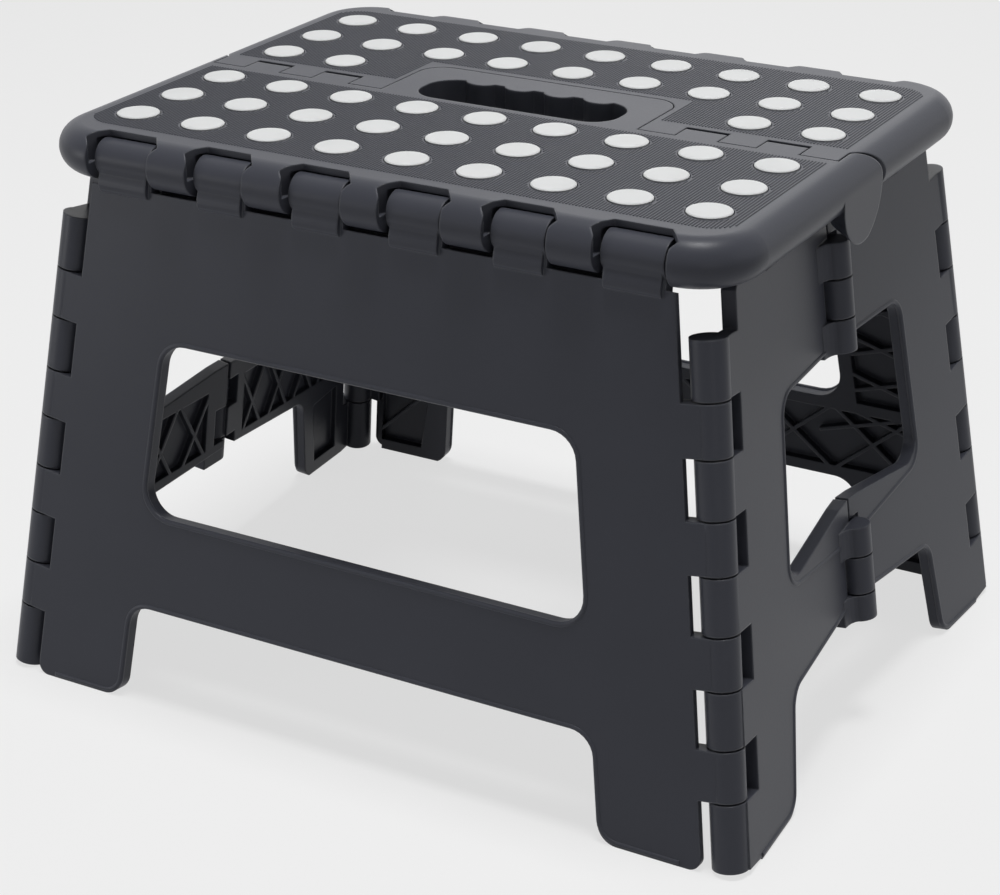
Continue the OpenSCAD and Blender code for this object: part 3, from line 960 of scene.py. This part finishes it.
@dataclass
class Studio:
    """Pale floor, soft lights and a white surround.

    The world lights the stool at the level surround; the floor as it is seen has the share shown_white of
    plain white, and the rest is paper, which takes the shadow.
    """

    floor_half: float = 6.0
    paper: Colour = (0.72, 0.72, 0.72)
    surround: float = 0.05
    shown_white: float = 0.68
    lamps: tuple[Lamp, ...] = (
        Lamp("overhead_lamp", (0.1, 0.0, 2.2), (0.0, 0.0, 0.2), 0.6, 33.0),
        Lamp("rear_lamp", (-0.6, 1.9, 1.1), (0.0, 0.05, 0.2), 0.9, 2.2),
        Lamp("side_lamp", (1.7, 0.3, 0.9), (0.0, 0.0, 0.1), 0.9, 1.5),
        Lamp("low_left_lamp", (-1.0, -0.9, 0.15), (-0.15, 0.0, 0.03), 0.4, 3.0),
        Lamp("low_right_lamp", (1.0, -1.1, 0.2), (-0.1, 0.05, 0.05), 0.5, 0.6),
    )

    def build(self) -> None:
        """Makes the floor, the world and the lamps."""
        self._floor()
        self._world()
        for lamp in self.lamps:
            lamp.build()

    def _floor(self) -> None:
        """Lays the floor and gives it its shown white and its shadow."""
        half = self.floor_half
        corners = [(-half, -half, 0), (half, -half, 0), (half, half, 0), (-half, half, 0)]
        mesh = bpy.data.meshes.new("floor")
        mesh.from_pydata(corners, [], [(0, 1, 2, 3)])
        floor = bpy.data.objects.new("floor", mesh)
        bpy.context.scene.collection.objects.link(floor)
        material = bpy.data.materials.new("floor_paper")
        graph = empty_graph(material)
        paper = graph.make("ShaderNodeBsdfDiffuse", None, {"Color": opaque(self.paper)})
        white = graph.make("ShaderNodeEmission", None, {"Color": WHITE, "Strength": 1.0})
        share = shown_rays(graph) * self.shown_white
        mixed = graph.make("ShaderNodeMixShader", None, {0: share, 1: paper, 2: white})
        graph.make("ShaderNodeOutputMaterial", None, {"Surface": mixed})
        mesh.materials.append(material)

    def _world(self) -> None:
        """Gives the world one white for what is seen and a plain level for what it lights."""
        world = bpy.data.worlds.new("surround")
        bpy.context.scene.world = world
        graph = empty_graph(world)
        light = graph.make("ShaderNodeBackground", None, {"Color": WHITE, "Strength": self.surround})
        white = graph.make("ShaderNodeBackground", None, {"Color": WHITE, "Strength": 1.0})
        mixed = graph.make("ShaderNodeMixShader", None, {0: shown_rays(graph), 1: light, 2: white})
        graph.make("ShaderNodeOutputWorld", None, {"Surface": mixed})


@dataclass
class PhotoCamera:
    """The camera at the photograph's viewing angle.

    The turn is in radians, lens and sensor are in millimetres.
    """

    place: Place = (0.44033554, -0.78687761, 0.48679043)
    turn: Place = (1.145786788, 0.00451611, 0.514015936)
    lens: float = 89.72453542
    sensor: float = 36.0

    def build(self) -> None:
        """Makes the camera and sets it as the scene's camera."""
        data = bpy.data.cameras.new("photo_camera")
        data.lens = self.lens
        data.sensor_width = self.sensor
        data.sensor_fit = "HORIZONTAL"
        camera = bpy.data.objects.new("photo_camera", data)
        camera.location = self.place
        camera.rotation_euler = self.turn
        bpy.context.scene.collection.objects.link(camera)
        bpy.context.scene.camera = camera


# The whole scene


def dress_nodes(names: list[str], material: bpy.types.Material) -> None:
    """Gives CAD nodes a finish.

    Args:
        names: names of the CAD nodes.
        material: the finish that they all take.
    """
    for name in names:
        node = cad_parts[name]
        if not node.data.materials:
            node.data.materials.append(material)
        for slot in range(len(node.data.materials)):
            node.data.materials[slot] = material
        log.info("dressed %s in %s", name, material.name)


def main() -> None:
    """Builds the stool's dress, the studio and the camera in order."""
    logging.basicConfig(level=logging.INFO, format="%(name)s: %(message)s")
    bpy.context.scene.view_settings.view_transform = "Standard"
    panel = MouldedPlastic("panel_plastic").build()
    rubber = DotRubber().build()
    steel = PinSteel().build()
    # Darker copy of the panel plastic for the ridges: painted shade standing in for the shadow between the
    # fine ridges.
    shaded_ridge_plastic = MouldedPlastic(
        "ridge_plastic_painted_shade",
        colour=(0.043, 0.045, 0.055),
        rubbed_highlight_colour=(0.064, 0.066, 0.078),
        roughness=0.45,
        gloss=0.18,
        edge_radius=0.0001,
    ).build()
    names = sorted(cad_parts)
    dress_nodes([name for name in names if "dots" in name], rubber)
    dress_nodes([name for name in names if "pin" in name], steel)
    dress_nodes([name for name in names if "dots" not in name and "pin" not in name], panel)
    # The ridges take the darker copy of the plastic, with its painted shade.
    SeatRidges().build(shaded_ridge_plastic)
    SeatDots().build(rubber)
    OpeningBeads().build(panel)
    Studio().build()
    PhotoCamera().build()


if __name__ == "__main__":
    main()
